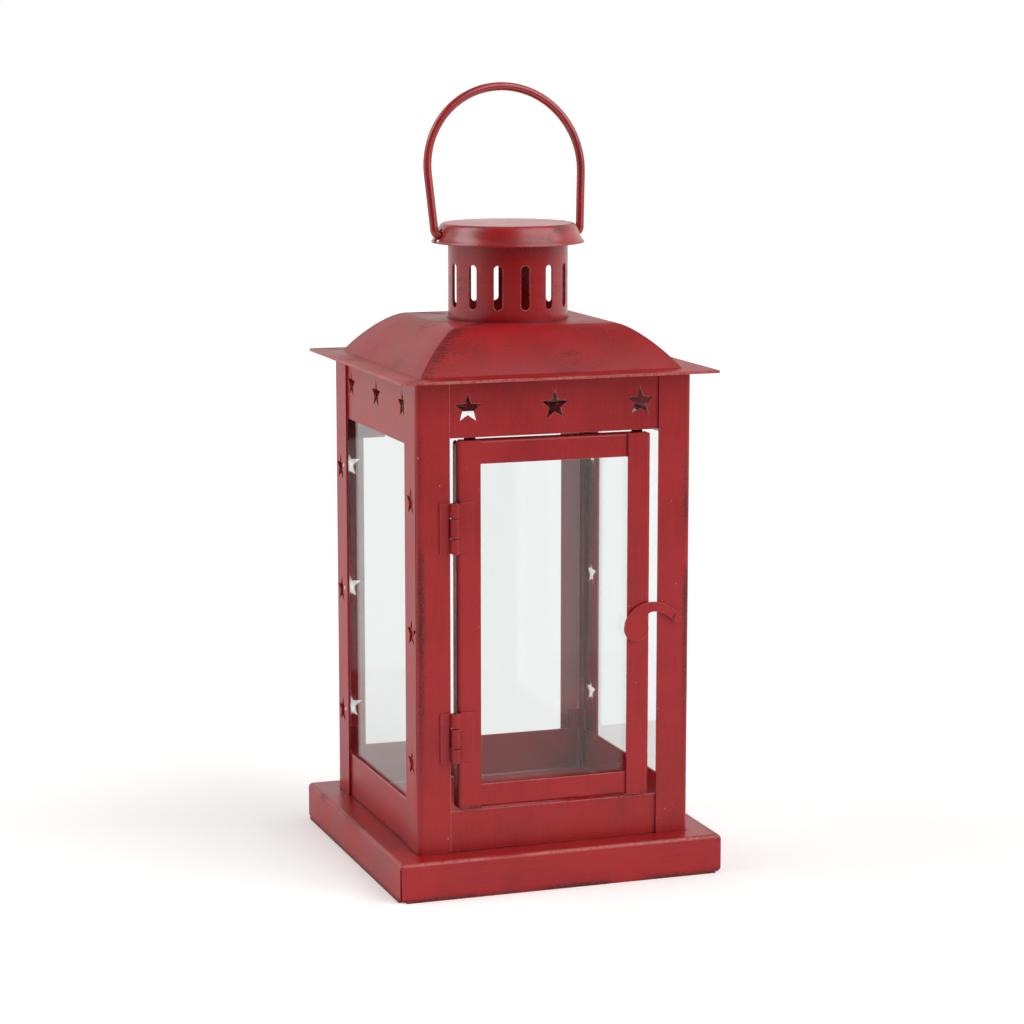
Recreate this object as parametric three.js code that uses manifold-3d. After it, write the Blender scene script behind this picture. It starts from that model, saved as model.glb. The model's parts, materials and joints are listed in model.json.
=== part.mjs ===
// Red sheet-metal candle lantern: folded base, four angle posts with star-pierced rails, three glass
// panes, a hinged glazed door with a turning latch, a pressed hip roof, a slotted chimney with a flared
// cap, and a wire bail. Millimetres, +Z up, the door faces -Y, the origin is under the middle of the base.
import * as THREE from 'three';
import { mergeVertices } from 'three/addons/utils/BufferGeometryUtils.js';
import Module from 'manifold-3d';

const wasm = await Module();
wasm.setup();

// Sheet and fits
const sheet = 0.8;
const clipSheet = 0.5;
const looseFit = 0.3;
const pinFit = 0.2;

// Base pan
const baseSide = 120;
const baseHeight = 14;
const baseBend = 1.6;
const baseSeam = 0.5;
const baseHem = 5;
const baseCornerRound = 2.5;

// Cage of posts and rails
const bodySide = 101;
const postLength = 165.5;
const postLeg = 12.1;
const postSideLeg = 14.2;
const postBend = 1.8;
const topRailFrontHeight = 19.7;
const topRailLeftHeight = 23;
const topRailRightHeight = 24;
const topRailRearHeight = 24;
const bottomRailFrontHeight = 14.5;
const bottomRailSideHeight = 16;

// Pierced stars
const starRadius = 5.2;
const railStarPitch = 31.6;
const railStarDrop = 9.8;
const postStarLowest = 31.4;
const postStarPitch = 46.1;
const starWaist = 0.42;

// Glass and its clips
const glassThickness = 2;
const paneLap = 5;
const rearPaneInset = 1.6;
const clipHeight = 8;
const clipReach = 7.5;
const clipFoot = 5.3;
const clipHold = 15;
const clipRise = 2;

// Door
const doorHingeGap = 2.5;
const doorLatchGap = 2.9;
const doorTopGap = 1;
const doorBottomGap = 0.6;
const doorDepth = 5;
const doorBend = 1.6;
const doorCornerRound = 1.5;
const stileWidth = 8.5;
const doorRailHeight = 8.3;
const doorRailBend = 1.2;
const doorClipHeight = 8;
const doorClipReach = 4.6;
const doorClipInset = 22;
const stopWidth = 4;
const stopLeftAt = -29.5;
const stopRightAt = 32.3;
const stopDrop = 7.8;

// Hinges
const hingeHeight = 17.5;
const hingeFromTop = 29.9;
const hingeFromBottom = 26.1;
const barrelRadius = 1.75;
const pinRadius = 0.9;
const pinEnd = 0.4;
const leafThickness = 0.6;
const barrelStandOff = 1.5;
const postLeafReach = 5.3;
const doorLeafReach = 6.9;
const middleKnuckle = 7.1;

// Latch
const latchThickness = 1;
const latchPivotInset = 5.3;
const latchRise = 63.3;
const latchReach = 15.15;
const latchHeadDrop = 3.1;
const latchHeadRadius = 4.55;
const latchTailRadius = 1.65;
const latchArchRise = 6.2;
const latchArchBand = 3.5;
const rivetRadius = 0.8;
const rivetHeadRadius = 1.25;
const rivetHeadHeight = 0.3;
const rivetTailRadius = 1.6;
const rivetTailHeight = 0.6;

// Roof
const roofSide = 116;
const roofSheet = 1;
const roofFoot = 48;
const roofPlateau = 29;
const roofRise = 15.1;
const roofFootAngle = THREE.MathUtils.degToRad(55);
const roofTopHandle = 5;
const roofFootHandle = 8;
const roofFlangeCorner = 1;
const roofHipRound = 2.2;

// Chimney and cap
const chimneyRadius = 21.5;
const chimneyHeight = 33.2;
const slotWidth = 3.2;
const slotLength = 15.7;
const slotFromFoot = 4.3;
const slotFront = THREE.MathUtils.degToRad(-92.3);
const slotFrontPitch = THREE.MathUtils.degToRad(26.2);
const slotLeftPitch = THREE.MathUtils.degToRad(27.2);
const slotSeamPitch = THREE.MathUtils.degToRad(22);
const capTopRadius = 22.9;
const capBrimRadius = 27.4;
const capShoulder = 2.2;
const capFlare = 2.2;
const capFlareRise = 2.4;
const capHeight = 7;
const capLip = 0.5;

// Bail
const wireRadius = 1.5;
const bailPivotDrop = 4.4;
const bailRise = 52.9;
const bailArchRadius = 29;
const bailBend = 2.4;
const bailLegGap = 1.6;
const bailTongue = 3;
const bailHoleFit = 1.1;
const bailLean = THREE.MathUtils.degToRad(8);

// Levels and faces that follow from the sizes above
const bodyHalf = bodySide / 2;
const railOuter = bodyHalf - sheet;
const railInner = railOuter - sheet;
const railEnd = bodyHalf - postBend - looseFit;
const postEdge = bodyHalf - postLeg;
const postSideEdge = bodyHalf - postSideLeg;
const paneOuter = railInner - looseFit;
const paneInner = paneOuter - glassThickness;
const clipFace = paneInner - looseFit;
const cageTop = baseHeight + postLength;
const paneBottom = baseHeight + looseFit;
const paneTop = cageTop - topRailLeftHeight + paneLap;
const doorLeft = -postEdge + doorHingeGap;
const doorRight = postEdge - doorLatchGap;
const doorTop = cageTop - topRailFrontHeight - doorTopGap;
const doorBottom = baseHeight + bottomRailFrontHeight + doorBottomGap;
const doorBack = -bodyHalf + doorDepth;
const hingeX = -postEdge + doorHingeGap / 2;
const hingeY = -bodyHalf - barrelStandOff;
const hingeUpper = doorTop - hingeFromTop;
const hingeLower = doorBottom + hingeFromBottom;
const latchX = bodyHalf - latchPivotInset;
const latchZ = doorBottom + latchRise;
const latchBack = -bodyHalf - looseFit;
const latchFront = latchBack - latchThickness;
const flangeTop = cageTop + roofSheet;
const plateauTop = flangeTop + roofRise;
const chimneyTop = plateauTop + chimneyHeight;
const capTop = chimneyTop + sheet;
const bailPivot = capTop - bailPivotDrop;

// Turns that carry a piece made for the front, or for the front left corner, round the cage
const quarter = Math.PI / 2;
const rightTurn = new THREE.Matrix4().set(0, -1, 0, 0, 1, 0, 0, 0, 0, 0, 1, 0, 0, 0, 0, 1);
const rearTurn = new THREE.Matrix4().set(-1, 0, 0, 0, 0, -1, 0, 0, 0, 0, 1, 0, 0, 0, 0, 1);
const leftTurn = new THREE.Matrix4().set(0, 1, 0, 0, -1, 0, 0, 0, 0, 0, 1, 0, 0, 0, 0, 1);
const noTurn = new THREE.Matrix4();
const frontToUp = new THREE.Matrix4().set(1, 0, 0, 0, 0, 0, -1, 0, 0, 1, 0, 0, 0, 0, 0, 1);
const yToUp = new THREE.Matrix4().set(1, 0, 0, 0, 0, 0, -1, 0, 0, 1, 0, 0, 0, 0, 0, 1);
const sideToUp = new THREE.Matrix4().set(0, 0, 1, 0, 1, 0, 0, 0, 0, 1, 0, 0, 0, 0, 0, 1);

function solidOf(geometry) {
  const bare = geometry.clone();
  bare.deleteAttribute('normal');
  bare.deleteAttribute('uv');
  const welded = mergeVertices(bare, 1e-4);
  const vertProperties = new Float32Array(welded.attributes.position.array);
  const triVerts = new Uint32Array(welded.index.array);
  return new wasm.Manifold(new wasm.Mesh({ numProp: 3, vertProperties, triVerts }));
}

function geometryOf(solid) {
  const mesh = solid.getMesh();
  const geometry = new THREE.BufferGeometry();
  geometry.setAttribute('position', new THREE.BufferAttribute(new Float32Array(mesh.vertProperties), 3));
  geometry.setIndex(new THREE.BufferAttribute(new Uint32Array(mesh.triVerts), 1));
  geometry.computeVertexNormals();
  return geometry;
}

function cut(geometry, tools) {
  let solid = solidOf(geometry);
  for (const tool of tools) {
    solid = solid.subtract(solidOf(tool));
  }
  return geometryOf(solid);
}

function join(geometries) {
  let solid = solidOf(geometries[0]);
  for (const geometry of geometries.slice(1)) {
    solid = solid.add(solidOf(geometry));
  }
  return geometryOf(solid);
}

function block(x0, x1, y0, y1, z0, z1) {
  const geometry = new THREE.BoxGeometry(x1 - x0, y1 - y0, z1 - z0);
  return geometry.translate((x0 + x1) / 2, (y0 + y1) / 2, (z0 + z1) / 2);
}

function outline(points) {
  return new THREE.Shape(points.map(([x, y]) => new THREE.Vector2(x, y)));
}

// A plan outline in X and Y, pulled up from z0 to z1
function upright(shape, z0, z1, curveSegments = 4) {
  const geometry = new THREE.ExtrudeGeometry(shape, { depth: z1 - z0, bevelEnabled: false, curveSegments });
  return geometry.translate(0, 0, z0);
}

// A front outline in X and Z, pulled back from y0 to y1
function facing(shape, y0, y1, curveSegments = 4) {
  const geometry = new THREE.ExtrudeGeometry(shape, { depth: y1 - y0, bevelEnabled: false, curveSegments });
  return geometry.applyMatrix4(frontToUp).translate(0, y1, 0);
}

// A side outline in Y and Z, pulled across from x0 to x1
function across(shape, x0, x1, curveSegments = 4) {
  const geometry = new THREE.ExtrudeGeometry(shape, { depth: x1 - x0, bevelEnabled: false, curveSegments });
  return geometry.applyMatrix4(sideToUp).translate(x0, 0, 0);
}

// A closed profile of radius and height, turned about the upright axis
function turned(profile, segments) {
  const geometry = new THREE.LatheGeometry(profile.map(([r, z]) => new THREE.Vector2(r, z)), segments);
  return geometry.applyMatrix4(yToUp);
}

function uprightRod(x, y, radius, z0, z1, segments) {
  const geometry = new THREE.CylinderGeometry(radius, radius, z1 - z0, segments);
  return geometry.applyMatrix4(yToUp).translate(x, y, (z0 + z1) / 2);
}

function star(x, z, radius) {
  const points = [];
  for (let corner = 0; corner < 10; corner += 1) {
    const reach = corner % 2 === 0 ? radius : radius * starWaist;
    const angle = quarter + corner * Math.PI / 5;
    points.push([x + reach * Math.cos(angle), z + reach * Math.sin(angle)]);
  }
  return outline(points);
}

// A folded angle in plan: corner at (x, y), one leg along sx, the other along sy, one sheet thick
function angleShape(x, y, sx, sy, legX, legY, bend) {
  const shape = new THREE.Shape();
  const centreX = x + sx * bend;
  const centreY = y + sy * bend;
  const fromX = sx > 0 ? Math.PI : 0;
  const fromY = sy > 0 ? -quarter : quarter;
  const start = sx > 0 && fromY > 0 ? quarter : fromY;
  const end = sx > 0 && sy > 0 ? -Math.PI : fromX;
  const clockwise = end < start;
  shape.moveTo(x + sx * legX, y);
  shape.lineTo(centreX, y);
  shape.absarc(centreX, centreY, bend, start, end, clockwise);
  shape.lineTo(x, y + sy * legY);
  shape.lineTo(x + sx * sheet, y + sy * legY);
  shape.lineTo(x + sx * sheet, centreY);
  shape.absarc(centreX, centreY, bend - sheet, end, start, !clockwise);
  shape.lineTo(x + sx * legX, y + sy * sheet);
  shape.closePath();
  return shape;
}

// The scrap outside a rounded corner at (x, y) whose sides run along sx and sy
function cornerScrap(x, y, sx, sy, radius) {
  const shape = new THREE.Shape();
  shape.moveTo(x - sx, y - sy);
  shape.lineTo(x + sx * radius, y - sy);
  shape.lineTo(x + sx * radius, y);
  shape.quadraticCurveTo(x, y, x, y + sy * radius);
  shape.lineTo(x - sx, y + sy * radius);
  shape.closePath();
  return shape;
}

// Loops for lofted sheet: a square of half side s with rounded corners, and a circle with matching points
const cornerSteps = 4;
const edgeSteps = 5;

function squareLoop(half, radius, z) {
  const loop = [];
  for (let side = 0; side < 4; side += 1) {
    const turn = side * quarter;
    const cos = Math.round(Math.cos(turn));
    const sin = Math.round(Math.sin(turn));
    const place = (x, y) => loop.push(new THREE.Vector3(x * cos - y * sin, x * sin + y * cos, z));
    for (let step = 0; step <= cornerSteps; step += 1) {
      const angle = step / cornerSteps * quarter;
      place(half - radius + radius * Math.cos(angle), half - radius + radius * Math.sin(angle));
    }
    for (let step = 1; step < edgeSteps; step += 1) {
      place((half - radius) * (1 - 2 * step / edgeSteps), half);
    }
  }
  return loop;
}

function circleLoop(radius, z) {
  const loop = [];
  const cornerSpan = THREE.MathUtils.degToRad(30);
  const edgeSpan = quarter - cornerSpan;
  for (let side = 0; side < 4; side += 1) {
    const start = side * quarter + (quarter - cornerSpan) / 2;
    for (let step = 0; step <= cornerSteps; step += 1) {
      const angle = start + step / cornerSteps * cornerSpan;
      loop.push(new THREE.Vector3(radius * Math.cos(angle), radius * Math.sin(angle), z));
    }
    for (let step = 1; step < edgeSteps; step += 1) {
      const angle = start + cornerSpan + step / edgeSteps * edgeSpan;
      loop.push(new THREE.Vector3(radius * Math.cos(angle), radius * Math.sin(angle), z));
    }
  }
  return loop;
}

// Skin over a row of loops that run anticlockwise from above: a ring goes back to its first loop, and
// a pan is closed at both ends by a fan round the middle of the loop
function loft(loops, ring) {
  const count = loops[0].length;
  const positions = [];
  const indices = [];
  for (const loop of loops) {
    for (const point of loop) {
      positions.push(point.x, point.y, point.z);
    }
  }
  const bands = ring ? loops.length : loops.length - 1;
  for (let band = 0; band < bands; band += 1) {
    const low = band * count;
    const high = (band + 1) % loops.length * count;
    for (let i = 0; i < count; i += 1) {
      const j = (i + 1) % count;
      indices.push(low + i, low + j, high + j);
      indices.push(low + i, high + j, high + i);
    }
  }
  if (!ring) {
    const last = loops.length - 1;
    for (const [row, flip] of [[0, true], [last, false]]) {
      const middle = positions.length / 3;
      positions.push(0, 0, loops[row][0].z);
      for (let i = 0; i < count; i += 1) {
        const a = row * count + i;
        const b = row * count + (i + 1) % count;
        indices.push(middle, flip ? b : a, flip ? a : b);
      }
    }
  }
  const geometry = new THREE.BufferGeometry();
  geometry.setAttribute('position', new THREE.BufferAttribute(new Float32Array(positions), 3));
  geometry.setIndex(indices);
  geometry.computeVertexNormals();
  return geometry;
}

function paint(color, roughness, metalness) {
  return new THREE.MeshStandardMaterial({ color, roughness, metalness });
}

const lantern = new THREE.Group();
lantern.name = 'metal_lantern';

function add(name, geometry, material) {
  const mesh = new THREE.Mesh(geometry, material);
  mesh.name = name;
  lantern.add(mesh);
}

const redPaint = () => paint('#a03234', 0.45, 0.1);
const clearGlass = () => new THREE.MeshStandardMaterial({
  color: '#dfe6e4', roughness: 0.05, metalness: 0, transparent: true, opacity: 0.3,
});
const bareSteel = () => paint('#6d6562', 0.45, 0.8);

// Base pan: floor and four folded skirts with an inward hem, slit at the corners where the folds meet
function baseTray() {
  const half = baseSide / 2;
  const loops = [];
  const bendStep = baseBend / (2 + Math.SQRT2);
  const innerBend = baseBend - sheet;
  loops.push(squareLoop(half - 2 * sheet, 0.4, baseHem));
  loops.push(squareLoop(half - 2 * sheet, 0.4, 0));
  loops.push(squareLoop(half, 1, 0));
  loops.push(squareLoop(half, 1, baseHeight - baseBend));
  for (const angle of [quarter / 3, 2 * quarter / 3, quarter]) {
    const inward = baseBend * (1 - Math.cos(angle));
    loops.push(squareLoop(half - inward, 1, baseHeight - baseBend * (1 - Math.sin(angle))));
  }
  const skin = loops.slice();
  const under = [];
  under.push(squareLoop(half - baseBend, 0.4, baseHeight - sheet));
  under.push(squareLoop(half - sheet - innerBend / 3, 0.4, baseHeight - sheet - innerBend / 3));
  under.push(squareLoop(half - sheet, 0.4, baseHeight - baseBend));
  under.push(squareLoop(half - sheet, 0.4, baseHem));
  const pan = loft([...under, ...skin], false);
  const tools = [];
  for (const turn of [noTurn, rightTurn, rearTurn, leftTurn]) {
    const slit = block(-4, 4, -baseSeam / 2, baseSeam / 2, -1, baseHeight - baseBend - bendStep);
    slit.rotateZ(quarter / 2).translate(-half, -half, 0);
    tools.push(slit.applyMatrix4(turn));
    const leftEnd = facing(cornerScrap(-half, 0, 1, 1, baseCornerRound), -half - 1, -half + 3 * sheet);
    const rightEnd = facing(cornerScrap(half, 0, -1, 1, baseCornerRound), -half - 1, -half + 3 * sheet);
    tools.push(leftEnd.applyMatrix4(turn));
    tools.push(rightEnd.applyMatrix4(turn));
  }
  return cut(pan, tools);
}

add('base_tray', baseTray(), redPaint());

// Corner posts: folded angles with three stars down the pierced legs
function cornerPost(alongX, alongY, frontStars, sideStars, turn, rivetHole) {
  const shape = angleShape(-bodyHalf, -bodyHalf, 1, 1, alongX, alongY, postBend);
  const tools = [];
  for (let row = 0; row < 3; row += 1) {
    const z = baseHeight + postStarLowest + row * postStarPitch;
    if (frontStars) {
      tools.push(facing(star(alongX / 2 - bodyHalf, z, starRadius), -bodyHalf - 1, -bodyHalf + sheet + 1));
    }
    if (sideStars) {
      tools.push(across(star(alongY / 2 - bodyHalf, z, starRadius), -bodyHalf - 1, -bodyHalf + sheet + 1));
    }
  }
  const post = upright(shape, baseHeight, cageTop).applyMatrix4(turn);
  const turnedTools = tools.map((tool) => tool.applyMatrix4(turn));
  if (rivetHole) {
    turnedTools.push(rivetHole);
  }
  return turnedTools.length > 0 ? cut(post, turnedTools) : post;
}

function frontRod(x, z, radius, y0, y1, segments) {
  const geometry = new THREE.CylinderGeometry(radius, radius, y1 - y0, segments);
  return geometry.translate(x, (y0 + y1) / 2, z);
}

const rivetHole = frontRod(latchX, latchZ, rivetRadius + pinFit, -bodyHalf - 1, -bodyHalf + sheet + 1, 16);
add('post_front_left', cornerPost(postLeg, postSideLeg, false, true, noTurn, null), redPaint());
add('post_front_right', cornerPost(postSideLeg, postLeg, true, false, rightTurn, rivetHole), redPaint());
add('post_rear_right', cornerPost(postLeg, postSideLeg, false, true, rearTurn, null), redPaint());
add('post_rear_left', cornerPost(postSideLeg, postLeg, true, true, leftTurn, null), redPaint());

// Rails: flat strips welded behind the post legs, the upper ones pierced with three stars
function topRail(height, turn) {
  const z = cageTop - railStarDrop;
  const strip = block(-railEnd, railEnd, -railOuter, -railInner, cageTop - height, cageTop);
  const places = [-railStarPitch, 0, railStarPitch];
  const tools = places.map((x) => facing(star(x, z, starRadius), -railOuter - 1, -railInner + 1));
  return cut(strip, tools).applyMatrix4(turn);
}

function bottomRail(height, turn) {
  const strip = block(-railEnd, railEnd, -railOuter, -railInner, baseHeight, baseHeight + height);
  return strip.applyMatrix4(turn);
}

add('top_rail_front', topRail(topRailFrontHeight, noTurn), redPaint());
add('top_rail_right', topRail(topRailRightHeight, rightTurn), redPaint());
add('top_rail_rear', topRail(topRailRearHeight, rearTurn), redPaint());
add('top_rail_left', topRail(topRailLeftHeight, leftTurn), redPaint());
add('bottom_rail_front', bottomRail(bottomRailFrontHeight, noTurn), redPaint());
add('bottom_rail_right', bottomRail(bottomRailSideHeight, rightTurn), redPaint());
add('bottom_rail_rear', bottomRail(bottomRailSideHeight, rearTurn), redPaint());
add('bottom_rail_left', bottomRail(bottomRailSideHeight, leftTurn), redPaint());

// Backing strips between the side rails, behind the side legs of the front posts, which close the stars there
const backingLow = baseHeight + bottomRailSideHeight + looseFit;
const backingHigh = cageTop - topRailRightHeight - looseFit;
const leftBacking = block(postSideEdge, railEnd, -railOuter, -railInner, backingLow, backingHigh);
const rightBacking = block(-railEnd, -postSideEdge, -railOuter, -railInner, backingLow, backingHigh);
add('post_backing_left', leftBacking.applyMatrix4(leftTurn), redPaint());
add('post_backing_right', rightBacking.applyMatrix4(rightTurn), redPaint());

// Panes stand on the base behind the rails; the rear one fits between the side ones
const rearPaneHalf = paneInner - rearPaneInset;
const sidePane = () => block(-paneOuter, paneOuter, -paneOuter, -paneInner, paneBottom, paneTop);
add('glass_right', sidePane().applyMatrix4(rightTurn), clearGlass());
add('glass_left', sidePane().applyMatrix4(leftTurn), clearGlass());
add('glass_rear', block(-rearPaneHalf, rearPaneHalf, paneInner, paneOuter, paneBottom, paneTop), clearGlass());

// Bent clips welded inside the posts hold the panes
function frontClip(side, z) {
  const face = side * clipFace;
  const back = face - side * clipSheet;
  const toe = face - side * clipFoot;
  const shape = outline([
    [face, -railOuter], [toe, -railOuter], [toe, -railOuter + clipSheet], [back, -railOuter + clipSheet],
    [back, -railOuter + clipReach], [face, -railOuter + clipReach],
  ]);
  return upright(shape, z, z + clipHeight);
}

// The hold of the upper rear clips rises in front of the pane, past the rail that the foot stops under
function rearClip(side, z, hold, rise) {
  const face = side * clipFace;
  const back = face - side * clipSheet;
  const toe = face - side * clipFoot;
  const tip = face - side * hold;
  const shape = outline([
    [face, railOuter], [toe, railOuter], [toe, railOuter - clipSheet], [back, railOuter - clipSheet],
    [back, clipFace], [tip, clipFace], [tip, clipFace - clipSheet], [back, clipFace - clipSheet],
    [back, railOuter - clipReach], [face, railOuter - clipReach],
  ]);
  const bent = upright(shape, z, z + clipHeight + rise);
  const overFoot = block(-bodyHalf, bodyHalf, clipFace, bodyHalf, z + clipHeight, z + clipHeight + rise + 1);
  return cut(bent, [overFoot]);
}

const clipLow = baseHeight + bottomRailSideHeight;
const clipHigh = cageTop - topRailRearHeight - clipHeight;
const clipLevels = [['lower', clipLow, clipFoot, 0], ['upper', clipHigh, clipHold, clipRise]];
for (const [sideName, side] of [['left', -1], ['right', 1]]) {
  for (const [levelName, z, hold, rise] of clipLevels) {
    add(`pane_clip_front_${sideName}_${levelName}`, frontClip(side, z), redPaint());
    add(`pane_clip_rear_${sideName}_${levelName}`, rearClip(side, z, hold, rise), redPaint());
  }
}

// Door stops: bent tabs welded behind the front top rail, hanging just behind the closed door
function doorStop(x) {
  const tabTop = doorTop + doorTopGap + 2;
  const tabBack = doorBack + looseFit + sheet;
  const shape = outline([
    [-railInner, tabTop], [-railInner, tabTop - sheet], [tabBack - sheet, tabTop - sheet],
    [tabBack - sheet, tabTop - stopDrop], [tabBack, tabTop - stopDrop], [tabBack, tabTop],
  ]);
  return across(shape, x - stopWidth / 2, x + stopWidth / 2);
}

add('door_stop_left', doorStop(stopLeftAt), redPaint());
add('door_stop_right', doorStop(stopRightAt), redPaint());

// Roof: one pressed sheet, from the flange edge over the curved hips to the flue hole and back beneath
function roofSheetLoft() {
  const half = roofSide / 2;
  const foot = new THREE.Vector2(roofFoot, flangeTop);
  const crown = new THREE.Vector2(roofPlateau, plateauTop);
  const footRun = new THREE.Vector2(-Math.cos(roofFootAngle), Math.sin(roofFootAngle));
  const sideCurve = new THREE.CubicBezierCurve(
    foot,
    foot.clone().addScaledVector(footRun, roofFootHandle),
    crown.clone().add(new THREE.Vector2(roofTopHandle, 0)),
    crown,
  );
  const outer = [];
  const inner = [];
  const steps = 9;
  for (let step = 0; step <= steps; step += 1) {
    const at = sideCurve.getPoint(step / steps);
    const along = sideCurve.getTangent(step / steps);
    const drop = step === 0 ? roofSheet * Math.tan(roofFootAngle / 2) : 0;
    const inX = at.x - along.y * roofSheet;
    const inZ = at.y + along.x * roofSheet;
    outer.push(squareLoop(at.x, roofHipRound, at.y));
    if (step === 0) {
      inner.push(squareLoop(at.x - drop, roofHipRound, cageTop));
    } else {
      inner.push(squareLoop(inX, roofHipRound, inZ));
    }
  }
  const flue = chimneyRadius - sheet;
  const loops = [
    squareLoop(half, roofFlangeCorner, cageTop),
    squareLoop(half, roofFlangeCorner, flangeTop),
    ...outer,
    circleLoop(flue, plateauTop),
    circleLoop(flue, plateauTop - roofSheet),
    ...inner.reverse(),
  ];
  return loft(loops, true);
}

add('roof', roofSheetLoft(), redPaint());

// Chimney: a tube with round-ended slots; its top edge carries the cap, and the bail ends pass through it
function slotTool(angle) {
  const radius = slotWidth / 2;
  const low = plateauTop + slotFromFoot + radius;
  const high = plateauTop + slotFromFoot + slotLength - radius;
  const shape = new THREE.Shape();
  shape.moveTo(radius, low);
  shape.lineTo(radius, high);
  shape.absarc(0, high, radius, 0, Math.PI, false);
  shape.lineTo(-radius, low);
  shape.absarc(0, low, radius, Math.PI, 2 * Math.PI, false);
  return facing(shape, -chimneyRadius - 2, -chimneyRadius / 2, 3).rotateZ(angle + quarter);
}

// The slots stand evenly in front, a little wider round the left, and closer towards the plain seam behind
function slotAngles() {
  const leftward = [slotFrontPitch, slotFrontPitch, slotLeftPitch, slotLeftPitch, slotLeftPitch, slotLeftPitch];
  const rightward = [slotFrontPitch, slotFrontPitch, slotSeamPitch, slotSeamPitch, slotSeamPitch];
  const angles = [slotFront];
  let angle = slotFront;
  for (const step of [...leftward, slotSeamPitch]) {
    angle -= step;
    angles.push(angle);
  }
  angle = slotFront;
  for (const step of rightward) {
    angle += step;
    angles.push(angle);
  }
  return angles;
}

function bailHole(radius) {
  const geometry = new THREE.CylinderGeometry(radius, radius, 4 * capBrimRadius, 20);
  return geometry.rotateZ(quarter).translate(0, 0, bailPivot);
}

function chimneyTube() {
  const bore = chimneyRadius - sheet;
  const wall = [
    [bore, plateauTop], [chimneyRadius, plateauTop], [chimneyRadius, chimneyTop], [bore, chimneyTop],
    [bore, plateauTop],
  ];
  const tools = [bailHole(wireRadius + looseFit)];
  for (const angle of slotAngles()) {
    tools.push(slotTool(angle));
  }
  return cut(turned(wall, 48), tools);
}

add('chimney', chimneyTube(), redPaint());

// Cap: flat top, rounded shoulder and a wall that flares to the brim
const capWall = new THREE.CubicBezierCurve(
  new THREE.Vector2(capTopRadius, capTop),
  new THREE.Vector2(capTopRadius + capShoulder, capTop),
  new THREE.Vector2(capBrimRadius - capFlare, capTop - capHeight + capFlareRise),
  new THREE.Vector2(capBrimRadius, capTop - capHeight + capLip),
);

function capShell() {
  const profile = [[0, capTop]];
  const inside = [];
  const steps = 7;
  for (let step = 0; step <= steps; step += 1) {
    const at = capWall.getPoint(step / steps);
    const along = capWall.getTangent(step / steps);
    profile.push([at.x, at.y]);
    inside.push([at.x + along.y * sheet, at.y - along.x * sheet]);
  }
  const brimBottom = capTop - capHeight;
  profile.push([capBrimRadius, brimBottom]);
  profile.push([capBrimRadius - sheet, brimBottom]);
  inside.pop();
  for (const point of inside.reverse()) {
    profile.push(point);
  }
  profile.push([0, capTop - sheet]);
  const shell = turned(profile.reverse(), 48);
  return cut(shell, [bailHole(wireRadius + bailHoleFit)]);
}

add('chimney_cap', capShell(), redPaint());

// Hinges: the post leaf carries the two outer knuckles and the pin, the door leaf the middle knuckle
function hingeLeaf(middle, onPost) {
  const low = middle - hingeHeight / 2;
  const high = middle + hingeHeight / 2;
  const splitLow = middle - middleKnuckle / 2;
  const splitHigh = middle + middleKnuckle / 2;
  const slack = looseFit / 2;
  const front = -bodyHalf - leafThickness;
  const relief = barrelRadius + looseFit;
  const farEdge = onPost ? hingeX - postLeafReach : hingeX + doorLeafReach;
  const plate = block(Math.min(farEdge, hingeX), Math.max(farEdge, hingeX), front, -bodyHalf, low, high);
  const ownKnuckles = onPost
    ? [[low, splitLow - slack], [splitHigh + slack, high]]
    : [[splitLow + slack, splitHigh - slack]];
  const otherZones = onPost
    ? [[splitLow - slack, splitHigh + slack]]
    : [[low - 1, splitLow + slack], [splitHigh - slack, high + 1]];
  const clear = otherZones.map(([z0, z1]) => block(
    hingeX - relief, hingeX + relief, front - 1, -bodyHalf + 1, z0, z1,
  ));
  const trimmed = cut(plate, clear);
  const rods = ownKnuckles.map(([z0, z1]) => uprightRod(hingeX, hingeY, barrelRadius, z0, z1, 20));
  const bore = uprightRod(hingeX, hingeY, pinRadius + pinFit, low - 2, high + 2, 16);
  return cut(join([trimmed, ...rods]), [bore]);
}

for (const [levelName, middle] of [['upper', hingeUpper], ['lower', hingeLower]]) {
  const low = middle - hingeHeight / 2 - pinEnd;
  const high = middle + hingeHeight / 2 + pinEnd;
  add(`hinge_leaf_post_${levelName}`, hingeLeaf(middle, true), redPaint());
  add(`hinge_leaf_door_${levelName}`, hingeLeaf(middle, false), redPaint());
  add(`hinge_pin_${levelName}`, uprightRod(hingeX, hingeY, pinRadius, low, high, 16), bareSteel());
}

// Door frame: stiles folded back at the hinge and latch sides, rails folded back above and below
function doorStile(edge, sx) {
  const shape = angleShape(edge, -bodyHalf, sx, 1, stileWidth, doorDepth, doorBend);
  const stile = upright(shape, doorBottom, doorTop);
  const y0 = -bodyHalf - 1;
  const y1 = doorBack + 1;
  return cut(stile, [
    facing(cornerScrap(edge, doorTop, sx, -1, doorCornerRound), y0, y1),
    facing(cornerScrap(edge, doorBottom, sx, 1, doorCornerRound), y0, y1),
  ]);
}

function doorRail(edge, sz) {
  const shape = angleShape(-railOuter, edge, 1, sz, doorDepth - sheet, doorRailHeight, doorRailBend);
  const inset = doorBend + 0.1;
  return across(shape, doorLeft + inset, doorRight - inset);
}

add('door_stile_left', doorStile(doorLeft, 1), redPaint());
add('door_stile_right', doorStile(doorRight, -1), redPaint());
add('door_rail_top', doorRail(doorTop, -1), redPaint());
add('door_rail_bottom', doorRail(doorBottom, 1), redPaint());

const doorPaneSide = sheet + clipSheet + looseFit;
add('door_glass', block(
  doorLeft + doorPaneSide, doorRight - doorPaneSide, -paneOuter, -paneInner,
  doorBottom + sheet + looseFit, doorTop - sheet - looseFit,
), clearGlass());

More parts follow.
